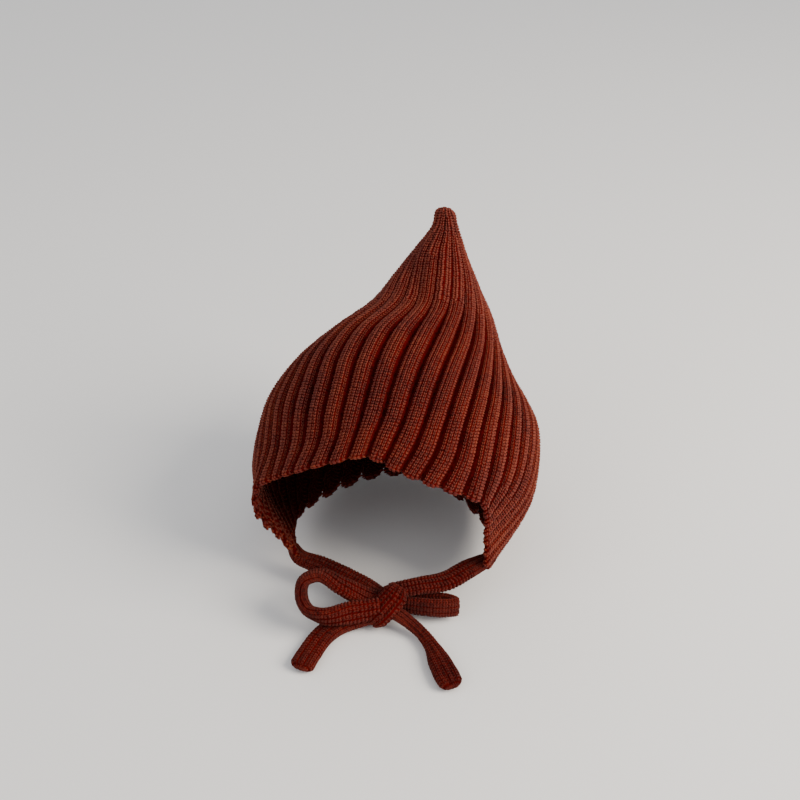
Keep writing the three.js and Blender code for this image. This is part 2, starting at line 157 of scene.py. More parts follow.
TIE_GROOVE = 0.25  # depth of the two grooves along each side of a tie, as a share of its height
TIE_GROOVE_WIDTH = 0.75
TIE_ROUND = 0.86  # outline of a tie as a share of the rectangle round it
TUBE_SIDES = 24
TUBE_STEP = 1.3
LOOSE_END = 0.7 * TIE_THICK  # length over which the loose end of a tie rounds off
UV_TALL = 0.97  # height of the hat's UV maps that the stitches take, below their hidden faces
TIE_UV_TALL = 0.96
HIDDEN_UV = 0.985

# The camera of the photograph: 50 mm lens, 10 degrees to the right and 35 degrees above
CAMERA_TARGET = np.array([-1.7, 89.7, 72.1])
CAMERA_DISTANCE = 585.0
CAMERA_AZIMUTH = math.radians(10)
CAMERA_ELEVATION = math.radians(35)


def metres(points):
    """Points above the table to metres from the hat's origin."""
    return (np.asarray(points, float) - HEAD_SEAT) / 1000


def unit(vectors):
    return vectors / np.maximum(np.linalg.norm(vectors, axis=-1, keepdims=True), 1e-9)


def add_camera():
    azimuth, elevation = CAMERA_AZIMUTH, CAMERA_ELEVATION
    back = np.array([
        math.sin(azimuth) * math.cos(elevation),
        -math.cos(azimuth) * math.cos(elevation),
        math.sin(elevation),
    ])
    right = np.array([math.cos(azimuth), math.sin(azimuth), 0.0])
    above = np.cross(back, right)
    place = metres(CAMERA_TARGET + CAMERA_DISTANCE * back)
    camera = bpy.data.objects.new("camera", bpy.data.cameras.new("camera"))
    bpy.context.scene.collection.objects.link(camera)
    camera.data.lens = 50
    camera.data.sensor_width = 36
    camera.data.clip_start = 0.01
    rotation = Matrix([right, above, back]).transposed().to_4x4()
    camera.matrix_world = Matrix.Translation(place) @ rotation
    bpy.context.scene.camera = camera


def make_piece(name, points, faces, face_uv, highlight_tops, materials, slot, kind=None):
    """One mesh of triangles, with its bake map and the strength of the painted highlight at each point, most
    at the top of a strand.
    """
    mesh = bpy.data.meshes.new(name)
    mesh.vertices.add(len(points))
    mesh.vertices.foreach_set("co", metres(points).astype(np.float32).ravel())
    mesh.loops.add(3 * len(faces))
    mesh.loops.foreach_set("vertex_index", faces.astype(np.int32).ravel())
    mesh.polygons.add(len(faces))
    mesh.polygons.foreach_set("loop_start", np.arange(0, 3 * len(faces), 3, dtype=np.int32))
    mesh.polygons.foreach_set("use_smooth", np.ones(len(faces), dtype=bool))
    for material in materials:
        mesh.materials.append(material)
    if kind is not None:
        mesh.polygons.foreach_set("material_index", kind.astype(np.int32))
    painted_highlight = mesh.attributes.new("painted_highlight", "FLOAT", "POINT")
    painted_highlight.data.foreach_set("value", np.clip(highlight_tops, 0, 1).astype(np.float32))
    layer = mesh.uv_layers.new(name="OFBake")
    layer.data.foreach_set("uv", face_uv.astype(np.float32).ravel())
    mesh.update(calc_edges=True)
    piece = bpy.data.objects.new(name, mesh)
    bpy.context.scene.collection.objects.link(piece)
    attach(piece, "root")
    return piece


# The form of the hat

def axis_point(across, along, deep):
    """A point from its three measures about the crown's leaning axis."""
    y = along * math.sin(LEAN) + deep * math.cos(LEAN)
    z = along * math.cos(LEAN) - deep * math.sin(LEAN)
    return np.stack(np.broadcast_arrays(across, y, z), axis=-1)


def closed_value(rows, column, rib, wrap=0.0):
    """One column of a closed table at any rib, on a smooth curve through its rows."""
    keys, values = rows["rib"], rows[column]
    rib = np.mod(rib, RIBS)
    at = np.searchsorted(keys, rib, side="right")
    keys = np.concatenate([keys[-1:] - RIBS, keys, keys[:2] + RIBS])
    values = np.concatenate([values[-1:] - wrap, values, values[:2] + wrap])
    slope = (values[2:] - values[:-2]) / (keys[2:] - keys[:-2])
    span = keys[at + 1] - keys[at]
    t = (rib - keys[at]) / span
    rise = t * t * (3 - 2 * t)
    bend = t * (1 - t) ** 2 * slope[at - 1] - t * t * (1 - t) * slope[at]
    return (1 - rise) * values[at] + rise * values[at + 1] + span * bend


def edge_line(rows, rib):
    """Points of the edge or the belly, at any rib."""
    around = np.radians(closed_value(rows, "around", rib, 360.0))
    radius = closed_value(rows, "radius", rib)
    along = closed_value(rows, "along", rib)
    return axis_point(AXIS_ACROSS + radius * np.sin(around), along, AXIS_DEEP - radius * np.cos(around))


def oval_line(row, rib):
    """Points of one oval section of the crown, at any rib."""
    section = {column: values[row] for column, values in SECTIONS.items()}
    drawn = 2 * np.arctan(section["spread"] * np.tan(math.pi * rib / RIBS))
    around = drawn + math.radians(section["turn"])
    past = np.mod(np.degrees(around) - section["crease"] + 180, 360) - 180
    size = 1 - section["fold"] * np.exp(-(past / CREASE_WIDTH) ** 2)
    across = section["across"] + size * section["width"] * np.sin(around)
    return axis_point(across, section["along"], section["deep"] - size * section["depth"] * np.cos(around))


def smooth_line(points, share):
    """Places along the centripetal Catmull-Rom lines through the points, one line for each share."""
    place = np.clip(share, 0, 1) * (len(points) - 1)
    at = np.minimum(place.astype(int), len(points) - 2)
    t = (place - at)[:, None]
    padded = np.concatenate([2 * points[:1] - points[1:2], points, 2 * points[-1:] - points[-2:-1]])
    line = np.arange(len(share)) if points.shape[1] > 1 else np.zeros(len(share), int)
    a, b, c, d = (padded[at + step, line] for step in range(4))
    spans = ((a, b), (b, c), (c, d))
    ab, bc, cd = (np.linalg.norm(end - start, axis=1, keepdims=True) ** 0.5 for start, end in spans)
    leave = bc * ((b - a) / ab - (c - a) / (ab + bc) + (c - b) / bc)
    arrive = bc * ((c - b) / bc - (d - b) / (bc + cd) + (d - c) / cd)
    rise = t * t * (3 - 2 * t)
    return (1 - rise) * b + rise * c + t * (1 - t) ** 2 * leave - t * t * (1 - t) * arrive


def hat_middle(rib, share):
    """Middle of the ribs' height at a rib and a share of the way from the edge to the tip."""
    rib, share = (np.ravel(values) for values in np.broadcast_arrays(rib, share))
    lines = [edge_line(RIM, rib), edge_line(BELLY, rib)]
    lines += [oval_line(row, rib) for row in range(len(SECTIONS["along"]))]
    lines.append(np.broadcast_to(axis_point(*TIP), lines[0].shape))
    return smooth_line(np.stack(lines), share)


def hat_frame(rib, share):
    """Place on the wall, its across, along and outward directions, and the width of a rib there."""
    beside = hat_middle(rib + 0.1, share) - hat_middle(rib - 0.1, share)
    ahead = hat_middle(rib, np.minimum(share + 0.004, 1)) - hat_middle(rib, np.maximum(share - 0.004, 0))
    across, along = unit(beside), unit(ahead)
    out = unit(np.cross(across, along))
    return hat_middle(rib, share), across, along, out, np.linalg.norm(beside, axis=1) / 0.2


def arch(place, count=1):
    """Height of a rounded section that repeats, from 0 in the trough to 1 on the crest."""
    off_crest = np.abs(2 * np.mod(place / count, 1) - 1)
    return np.maximum(1 - off_crest ** RIB_SHAPE[0], 0) ** RIB_SHAPE[1]


def paired(width):
    """How far a rib has joined its neighbour, from 0 to 1, where it has a given width."""
    t = np.clip((PAIRING[0] - width) / (PAIRING[0] - PAIRING[1]), 0, 1)
    return t * t * (3 - 2 * t)


def purl(share):
    """How much is left of the purl columns between the ribs, from 1 at the edge to 0 at the peak."""
    return 1 - np.clip((share - PURL_END[0]) / (PURL_END[1] - PURL_END[0]), 0, 1)


def drop(rib, width, share):
    """How far the surface lies below the crest of its rib."""
    join = paired(width)
    single = (1 - arch(rib)) * np.minimum(1, width / FULL_RIB)
    double = (1 - arch(rib, 2)) * np.minimum(1, 2 * width / FULL_RIB)
    beside, inside = JOINED_TROUGHS
    depth = TROUGH_DEPTH * (TROUGH_LEFT + (1 - TROUGH_LEFT) * purl(share))
    return depth * ((1 - join) * single + join * (beside * double + inside * single))


def outer_lift(rib, width, share):
    """Height of the wall's outside, which lies lower under fine ribs, so that their stitches close."""
    crest = RIB_HEIGHT / 2 * np.minimum(1, width / FULL_RIB)
    yarn = YARN_HIGH * np.clip(1.1 - 0.2 * width, 0.5, 1)
    return crest - drop(rib, width, share) - yarn


def inner_lift(rib, width, _):
    """Height of the wall's inside, with the troughs' backs as ridges. It is the same at any share."""
    return -WALL + INNER_YARN_HIGH - INNER_RIDGE * (1 - arch(rib)) * np.minimum(1, width / FULL_RIB)


def scallop(rib):
    """Share of a rib line by which the edge is drawn in, most at the troughs of the left corner."""
    off_corner = (np.mod(rib, RIBS) - LEFT_CORNER) / CORNER_RIBS
    depth = SCALLOP + CORNER_SCALLOP * np.exp(-off_corner ** 2)
    return depth * (1 - arch(rib))


def from_edge(rib, share):
    """A share of the way from the scalloped edge as a share of the whole rib line."""
    drawn_in = scallop(rib)
    return drawn_in + share * (1 - drawn_in)


# The wall

def wall_row(lift_at, rib, share):
    """One row of the wall's points, at a share of the way from the scalloped edge."""
    at = from_edge(rib, share)
    place, _, _, out, width = hat_frame(rib, at)
    return place + out * lift_at(rib, width, at)[:, None]


def edge_row(rib, angle):
    """Places on the rounded edge at an angle from the outside, their directions and a rib's width."""
    place, across, along, out, width = hat_frame(rib, scallop(rib))
    high, low = outer_lift(rib, width, 0), inner_lift(rib, width, 0)
    lift = (high + low) / 2 + (high - low) / 2 * math.cos(angle)
    reach = (high - low) / 2 * math.sin(angle)
    return place + out * lift[:, None] - along * reach[:, None], across, along, out, width


def hat_wall(material):
    """One closed shell: ribbed outside, a rounded edge, and the same ribs seen from behind inside."""
    places = np.array([0, 0.05, 0.13, 0.28, 0.5, 0.72, 0.87, 0.95])  # closer at the sides of a rib
    rib = (np.arange(RIBS)[:, None] + places).ravel()
    rows = [wall_row(outer_lift, rib, share) for share in np.linspace(OUTER_END, 0, OUTER_ROWS)]
    rows += [edge_row(rib, angle)[0] for angle in np.radians([36, 72, 108, 144])]
    rows += [wall_row(inner_lift, rib, share) for share in np.linspace(0, INNER_END, INNER_ROWS)]
    across, along, deep = TIP
    tip = axis_point(across, along - YARN_HIGH, deep)
    points, faces, face_uv = ring_mesh(rows, tip, axis_point(*INNER_TIP))
    return make_piece("knit_wall", points, faces, face_uv, np.zeros(len(points)), [material], "rib_knit_wool")


def ring_mesh(rows, first_pole, last_pole):
    """A closed tube of triangles through rows of points, with a pole at each end."""
    count, sides = len(rows), len(rows[0])
    grid = np.meshgrid(np.arange(count - 1), np.arange(sides), indexing="ij")
    row, side = (values.ravel() for values in grid)
    after = (side + 1) % sides
    a, b = row * sides + side, row * sides + after
    c, d = a + sides, b + sides
    faces = [np.stack([a, c, b], 1), np.stack([b, c, d], 1)]
    ring = np.arange(sides)
    turned = (ring + 1) % sides
    pole = np.full(sides, count * sides)
    last = (count - 1) * sides
    faces += [np.stack([pole, ring, turned], 1), np.stack([pole + 1, last + turned, last + ring], 1)]
    u, v = side / sides, (row + 1) / (count + 1)
    du, dv = 1 / sides, 1 / (count + 1)
    corner = {"a": (u, v), "b": (u + du, v), "c": (u, v + dv), "d": (u + du, v + dv)}
    face_uv = [uv_of(corner["a"], corner["c"], corner["b"]), uv_of(corner["b"], corner["c"], corner["d"])]
    here, there = ring / sides, (ring + 1) / sides
    nought = np.zeros(sides)
    face_uv.append(uv_of((here, nought), (here, nought + dv), (there, nought + dv)))
    face_uv.append(uv_of((here, nought + 1), (there, nought + 1 - dv), (here, nought + 1 - dv)))
    points = np.concatenate([*rows, [first_pole], [last_pole]])
    return points, np.concatenate(faces), np.concatenate(face_uv)


def uv_of(*corners):
    return np.stack([np.stack(corner, axis=-1) for corner in corners], axis=1)


# Stitches: each leg of a stitch is a short strand, three-sided and pointed at both ends

LEG_FACES = np.array([
    (0, 2, 1), (0, 3, 2), (1, 2, 5), (1, 5, 4), (2, 3, 6), (2, 6, 5), (4, 5, 7), (5, 6, 7),
    (0, 1, 3), (1, 4, 6), (1, 6, 3), (4, 7, 6),
])
HIDDEN_FACES = 4  # the last faces of a leg, which lie in the ground of the knit


def leg(start, end, half_width, lift=(0.15, 0.95, 0.9, -0.2)):
    """Corners of one strand from start to end, in wales across, rows along and heights."""
    start, end = np.array(start, float), np.array(end, float)
    aside = np.array([end[1] - start[1], start[0] - end[0]])
    aside *= half_width / np.linalg.norm(aside)
    corners = [(*start, lift[0])]
    for share, high in ((0.3, lift[1]), (0.7, lift[2])):
        middle = start + share * (end - start)
        corners += [(*(middle - aside), -0.6), (*middle, high), (*(middle + aside), -0.6)]
    corners.append((*end, lift[3]))
    return np.array(corners)


KNIT_LEGS = [leg((0.06, -0.55), (0.33, 0.6), 0.2), leg((-0.06, -0.55), (-0.33, 0.6), 0.2)]
TIE_LEGS = [leg((0.08, -0.6), (0.36, 0.68), 0.2), leg((-0.08, -0.6), (-0.36, 0.68), 0.2)]
PURL_LEGS = [leg((-0.55, 0), (0.55, 0), 0.42, lift=(-0.2, 1, 1, -0.2))]
EDGE_LEGS = [leg((-0.5, -0.1), (0.6, 0.1), 0.5, lift=(-0.1, 1, 1, -0.1))]


CHANCE = np.random.default_rng(46)  # hand-knit unevenness, the same in each run


class Stitches:
    """Stitches of one kind, gathered place by place and then made into one mesh."""

    def __init__(self):
        self.points = []
        self.uv = []
        self.highlight_tops = []

    def add(self, legs, frames, wide, tall, high, uv, uv_size, highlight_share=1.0):
        """Adds the legs at each frame. highlight_share is how much of its painted highlight a stitch keeps,
        less where painted shade falls in the troughs.
        """
        place, across, along, out = frames
        highlight_share = np.broadcast_to(highlight_share, len(place))
        high = high * CHANCE.uniform(0.8, 1.2, len(place))
        place = place + along * (tall * CHANCE.uniform(-0.1, 0.1, len(place)))[:, None]
        place = place + across * (wide * CHANCE.uniform(-0.04, 0.04, len(place)))[:, None]
        for shape in legs:
            x, y, z = (shape[:, i][None, :, None] for i in range(3))
            self.points.append(
                place[:, None] + across[:, None] * x * wide[:, None, None]
                + along[:, None] * y * tall[:, None, None] + out[:, None] * z * high[:, None, None]
            )
            self.uv.append(uv[:, None] + np.concatenate([x, y], axis=2) * uv_size[:, None])
            self.highlight_tops.append((highlight_share[:, None] * shape[:, 2]).ravel())

    def arrays(self):
        points, uv = np.concatenate(self.points), np.concatenate(self.uv)
        first = 8 * np.arange(len(points))[:, None, None]
        faces = (first + LEG_FACES).reshape(-1, 3)
        face_uv = uv[:, LEG_FACES]
        face_uv[:, -HIDDEN_FACES:, :, 1] = HIDDEN_UV + 0.01 * face_uv[:, -HIDDEN_FACES:, :, 1]
        return points.reshape(-1, 3), faces, face_uv.reshape(-1, 3, 2), np.concatenate(self.highlight_tops)


def courses(rib):
    """Shares of a rib line at which the rows of stitches lie, a row apart."""
    share = np.linspace(0, COURSES_END, 400)
    line = hat_middle(np.full(len(share), float(rib)), share)
    length = np.concatenate([[0], np.cumsum(np.linalg.norm(np.diff(line, axis=0), axis=1))])
    count = int(round(length[-1] / COURSE))
    return np.interp((np.arange(count) + 0.5) * length[-1] / count, length, share), length[-1]


def rib_places(first, last, end):
    """Rib number, share and line length for each row of stitches of the ribs first to last."""
    found = []
    for rib in range(first, last):
        share, length = courses(rib + 0.5)
        share = share[share < end]
        found.append(np.stack([np.full(len(share), float(rib)), share, np.full(len(share), length)]))
    return np.concatenate(found, axis=1)


def tilted(lift_at, rib, share):
    """Frames on the hat lifted to a surface, and turned with the slope of the rib at each."""
    place, across, along, out, width = hat_frame(rib, share)
    step = 0.02
    rise = lift_at(rib + step, width, share) - lift_at(rib - step, width, share)
    slope = rise / (2 * step * np.maximum(width, 0.5))
    across_skin = unit(across + out * slope[:, None])
    out_skin = unit(np.cross(across_skin, along))
    return place + out * lift_at(rib, width, share)[:, None], across_skin, along, out_skin


def columns_of(width):
    """How many columns of stitches a rib of a given width has."""
    return np.select([width >= COLUMN_WIDTHS[0], width >= COLUMN_WIDTHS[1]], [4, 2], 1)


# Each rib loses its columns at a height of its own, so that no ring shows round the peak
UNEVEN = np.random.default_rng(3).uniform(0.9, 1.2, RIBS)


def rib_stitches(name, first, last, material):
    """Knit stitches on the outside of some ribs: four columns on a full rib, and fewer as it narrows."""
    stitches = Stitches()
    rib, share, length = rib_places(first, last, 1)
    width = hat_frame(rib + 0.5, share)[4]
    four = (4 * (rib // 4)).astype(int)
    shared = hat_frame(four + 2, share)[4] * UNEVEN[four]
    joined = np.select([shared < JOINED_WIDTHS[0], shared < JOINED_WIDTHS[1]], [4, 2], 1)
    columns = columns_of(width * UNEVEN[rib.astype(int)])
    for column in range(4):
        keep = (column < columns) & (np.mod(rib, joined) == 0)
        span, many = np.minimum(joined[keep], RIBS - rib[keep]), columns[keep]
        margin = RIB_MARGIN * purl(share[keep])
        at = rib[keep] + span * (margin + (1 - 2 * margin) * (column + 0.5) / many)
        part = from_edge(at, share[keep])
        frames = tilted(outer_lift, at, part)
        wide = width[keep] * span * (1 - 2 * margin) / many
        tall = np.full(len(at), COURSE)
        high = YARN_HIGH * np.clip(wide / 2, 0.5, 1.1)
        ribs = last - first
        uv = np.stack([(at - first) / ribs, UV_TALL * part], axis=1)
        uv_size = np.stack([span * (1 - 2 * margin) / many / ribs, COURSE / length[keep]], axis=1)
        # Painted shade: a stitch keeps less of its painted highlight the lower it lies in a trough
        crest = arch(at) ** 2 * purl(part) + 1 - purl(part)
        highlight_share = TROUGH_HIGHLIGHT + (1 - TROUGH_HIGHLIGHT) * crest
        stitches.add(KNIT_LEGS, frames, wide, tall, high, uv, uv_size, highlight_share)
    return make_piece(name, *stitches.arrays(), [material], "rib_knit_wool")


def turned_in(frames):
    """The same frames seen from the inside of the hat."""
    place, across, along, out = frames
    return place, -across, along, -out


def inside_stitches(name, first, last, material):
    """The back of the ribs: purl bumps, and one knit column where a trough shows from behind."""
    stitches = Stitches()
    inner = 1 - 2 * RIB_MARGIN
    rib, share, length = rib_places(first, last, INNER_END)
    width = hat_frame(rib + 0.5, share)[4]
    columns = columns_of(width)
    row = np.arange(len(rib))
    ribs = last - first
    for column in range(4):
        keep = column < columns
        many = columns[keep]
        shift = np.where(row[keep] % 2 == 0, 0.2, -0.2)
        at = rib[keep] + RIB_MARGIN + inner * (column + 0.5 + shift) / many
        frames = turned_in(tilted(inner_lift, at, from_edge(at, share[keep])))
        wide = width[keep] * inner / many
        tall = np.full(len(at), COURSE)
        high = np.full(len(at), 0.8 * YARN_HIGH)
        uv = np.stack([(at - first) / ribs, UV_TALL * share[keep]], axis=1)
        uv_size = np.stack([inner / many / ribs, COURSE / length[keep]], axis=1)
        stitches.add(PURL_LEGS, frames, wide, tall, high, uv, uv_size)
    keep = width >= COLUMN_WIDTHS[1]
    at = rib[keep]
    frames = turned_in(tilted(inner_lift, at, from_edge(at, share[keep])))
    wide = TROUGH_COLUMN * width[keep]
    tall = np.full(len(at), COURSE)
    uv = np.stack([np.clip((at - first) / ribs, 0.002, 1), UV_TALL * share[keep]], axis=1)
    uv_size = np.stack([np.full(len(at), TROUGH_COLUMN / ribs), COURSE / length[keep]], axis=1)
    stitches.add(KNIT_LEGS, frames, wide, tall, np.full(len(at), YARN_HIGH), uv, uv_size)
    return make_piece(name, *stitches.arrays(), [material], "rib_knit_wool")


def edge_stitches(material):
    """The cast-on edge: rows of short strands that lie along the rounded rim, five to a rib."""
    stitches = Stitches()
    for row, angle in enumerate(np.radians([35, 90, 145])):
        rib = (np.arange(RIBS * 5) + 0.25 * row) / 5
        place, across, along, out, width = edge_row(rib, angle)
        outward = unit(out * math.cos(angle) - along * math.sin(angle))
        ahead = unit(np.cross(outward, across))
        many = len(rib)
        uv = np.stack([rib / RIBS, np.full(many, 0.2 + 0.3 * row)], axis=1)
        uv_size = np.stack([np.full(many, 0.2 / RIBS), np.full(many, 0.2)], axis=1)
        frames = (place, across, ahead, outward)
        tall, high = np.full(many, EDGE_COURSE), np.full(many, EDGE_YARN_HIGH)
        # The edge stitches keep 0.3 of their painted highlight
        stitches.add(EDGE_LEGS, frames, width / 5, tall, high, uv, uv_size, 0.3)
    return make_piece("cast_on_edge", *stitches.arrays(), [material], "rib_knit_wool")


# The ties

def strap_place(route, share):
    points = np.stack([route["x"], route["y"], route["z"]], axis=1)[:, None]
    return smooth_line(points, share)


def strap_ring(route, towards, share, angle, size=1.0):
    """Points on a strap's outline at shares of its route, whose flat side faces towards a direction."""
    share, angle = np.broadcast_arrays(np.asarray(share, float), angle)
    before = strap_place(route, np.maximum(share - 0.003, 0))
    after = strap_place(route, np.minimum(share + 0.003, 1))
    along = unit(after - before)
    across = unit(np.cross(towards, along))
    flat = unit(np.cross(along, across))
    rows = np.linspace(0, 1, len(route["x"]))
    turn = np.radians(np.interp(share, rows, route["turn"]))
    half_width = size * TIE_WIDTH * np.interp(share, rows, route["width"]) / 2 - TIE_SINK
    half_thick = size * TIE_THICK * np.interp(share, rows, route["thick"]) / 2 - TIE_SINK
    x = np.sign(np.cos(angle)) * np.abs(np.cos(angle)) ** FULLNESS * half_width
    y = np.sign(np.sin(angle)) * np.abs(np.sin(angle)) ** FULLNESS * half_thick
    off_groove = (np.abs(x) - half_width / 3) / TIE_GROOVE_WIDTH
    y = y * (1 - TIE_GROOVE * np.exp(-off_groove ** 2))
    aside = x * np.cos(turn) - y * np.sin(turn)
    raised = x * np.sin(turn) + y * np.cos(turn)
    return strap_place(route, share) + across * aside[:, None] + flat * raised[:, None]


def strap_length(route):
    line = strap_place(route, np.linspace(0, 1, 200))
    return np.linalg.norm(np.diff(line, axis=0), axis=1).sum()


def even_angles(count):
    """Angles that part a strap's outline into equal lengths."""
    fine = np.linspace(0, 2 * math.pi, 721)
    x = np.sign(np.cos(fine)) * np.abs(np.cos(fine)) ** FULLNESS * TIE_WIDTH
    y = np.sign(np.sin(fine)) * np.abs(np.sin(fine)) ** FULLNESS * TIE_THICK
    walked = np.concatenate([[0], np.cumsum(np.hypot(np.diff(x), np.diff(y)))])
    return np.interp((np.arange(count) + 0.5) / count * walked[-1], walked, fine)


def end_size(back):
    """Size of the rounded end of a tail, at a distance back from it."""
    near = np.clip(back / LOOSE_END, 0, 1)
    return np.sqrt(np.maximum(1 - (1 - near) ** 2, 0))


def strap_skin(route, towards, share, angle, loose, length):
    """Points on a strap's outline that close in round its loose end, and its size at each."""
    size = end_size((1 - share) * length) if loose else np.ones(len(share))
    return strap_ring(route, towards, share, angle, size), size


def strap_tube(route, towards, loose, length):
    """The ground of a strap: a closed tube that rounds off at its loose end."""
    angles = even_angles(TUBE_SIDES)
    share = np.linspace(0, 1, int(length / TUBE_STEP))
    if loose:
        back = TIE_THICK * np.array([0.6, 0.42, 0.28, 0.16, 0.08, 0.02])
        share = np.concatenate([share[share < 1 - LOOSE_END / length], 1 - back / length])
    size = end_size((1 - share) * length) if loose else np.ones(len(share))
    rows = [strap_ring(route, towards, np.full(TUBE_SIDES, at), angles, s) for at, s in zip(share, size)]
    ends = strap_place(route, np.array([0.0, 1.0]))
    return ring_mesh([row[::-1] for row in rows], ends[0], ends[1])


def strap_stitches(route, towards, loose, length, uv_from, uv_to):
    """The stitches of a strap, row by row, in one band of the piece's UV map."""
    around = round(2 * (TIE_WIDTH + TIE_THICK) * TIE_ROUND / TIE_WALE)
    many = int(length / TIE_COURSE)
    rows = (np.arange(many) + 0.5) / many
    if loose:
        rows = np.concatenate([rows, 1 - np.array([0.35, 0.12]) / length])
    at, angle = (values.ravel() for values in np.meshgrid(rows, even_angles(around), indexing="ij"))
    place, size = strap_skin(route, towards, at, angle, loose, length)
    left = strap_ring(route, towards, at, angle + 0.06, size)
    right = strap_ring(route, towards, at, angle - 0.06, size)
    ahead = strap_skin(route, towards, np.minimum(at + 0.004, 1 - 0.02 / length), angle, loose, length)[0]
    behind = strap_skin(route, towards, np.maximum(at - 0.004, 0), angle, loose, length)[0]
    along, across = unit(ahead - behind), unit(right - left)
    frames = (place, across, along, unit(np.cross(across, along)))
    tall = np.full(len(at), TIE_COURSE)
    uv = np.stack([angle / (2 * math.pi), TIE_UV_TALL * (uv_from + (uv_to - uv_from) * at)], axis=1)
    uv_row = np.full(len(at), TIE_UV_TALL * (uv_to - uv_from) / many)
    uv_size = np.stack([np.full(len(at), 1 / around), uv_row], axis=1)
    stitches = Stitches()
    stitches.add(TIE_LEGS, frames, TIE_WALE * size, tall, TIE_YARN_HIGH * size, uv, uv_size)
    return stitches.arrays()


def strap_mesh(route, towards, loose, uv_from, uv_to):
    """A strap's tube and stitches together: points, faces, UV, tops, and each face's material number."""
    length = strap_length(route)
    points, tube, face_uv = strap_tube(route, towards, loose, length)
    face_uv = face_uv * [1, TIE_UV_TALL * (uv_to - uv_from)] + [0, TIE_UV_TALL * uv_from]
    knit = strap_stitches(route, towards, loose, length, uv_from, uv_to)
    more_points, more_faces, more_uv, highlight_tops = knit
    return (
        np.concatenate([points, more_points]),
        np.concatenate([tube, more_faces + len(points)]),
        np.concatenate([face_uv, more_uv]),
        np.concatenate([np.zeros(len(points)), highlight_tops]),
        np.repeat([0, 1], [len(tube), len(more_faces)]),
    )


def sewn_in(route, corner):
    """The route of a strap with its start drawn in to the corner of the hat that it is sewn to."""
    start = dict(zip(route, (*corner, 0, 0.5, 0.6)))
    return {column: np.concatenate([[start[column]], values]) for column, values in route.items()}


def with_joins(routes):
    """The routes of a tie in turn, with the short lengths that are hidden in the knot between them."""
    joined = routes[:1]
    for (route, _), (after, towards) in zip(routes, routes[1:]):
        join = {column: np.array([route[column][-1], after[column][0]]) for column in route}
        join["turn"] = join["turn"] * 0
        joined += [(join, BOW_FACE), (after, towards)]
    return joined


def tie(name, routes, nodes, materials):
    """One tie of the hat: down from its corner, round its loop of the bow, and out to its loose end."""
    routes = with_joins(routes)
    lengths = np.array([strap_length(route) for route, _ in routes])
    bands = np.concatenate([[0], np.cumsum(lengths) / lengths.sum()])
    last = len(routes) - 1
    straps = [
        strap_mesh(route, towards, i == last, bands[i], bands[i + 1])
        for i, (route, towards) in enumerate(routes)
    ]
    points, faces, face_uv, highlight_tops, kind = zip(*straps)
    first = np.cumsum([0] + [len(strap) for strap in points])
    faces = [strap + start for strap, start in zip(faces, first)]
    path = [strap_place(route, np.arange(24) / 24) for route, _ in routes]
    path = metres(np.concatenate([*path, strap_place(routes[-1][0], np.ones(1))]))
    gathered = (np.concatenate(lists) for lists in (points, faces, face_uv, highlight_tops))
    piece = make_piece(name, *gathered, materials, "tie_knit_wool", np.concatenate(kind))
    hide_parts(*nodes)
    return piece


def knot(materials):
    points, faces, face_uv, highlight_tops, kind = strap_mesh(KNOT, BOW_FACE, False, 0, 1)
    piece = make_piece("knot", points, faces, face_uv, highlight_tops, materials, "tie_knit_wool", kind)
    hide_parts("bow_knot")
    return piece


# Materials

def linear(code):
    """An sRGB hex colour as linear light."""
    channels = [int(code[i:i + 2], 16) / 255 for i in (0, 2, 4)]
    return (*[c / 12.92 if c <= 0.04045 else ((c + 0.055) / 1.055) ** 2.4 for c in channels], 1.0)


def node(tree, kind, settings=None, **sockets):
    """Adds a node, with its settings, its values and its links."""
    made = tree.nodes.new(kind)
    for key, value in (settings or {}).items():
        setattr(made, key, value)
    for key, value in sockets.items():
        socket = made.inputs[int(key[1:]) if key[1:].isdigit() else key.replace("_", " ")]
        if isinstance(value, bpy.types.NodeSocket):
            tree.links.new(value, socket)
        else:
            socket.default_value = value
    return made


def new_material(name):
    material = bpy.data.materials.new(name)
    material.use_nodes = True
    return material, material.node_tree, material.node_tree.nodes["Principled BSDF"]


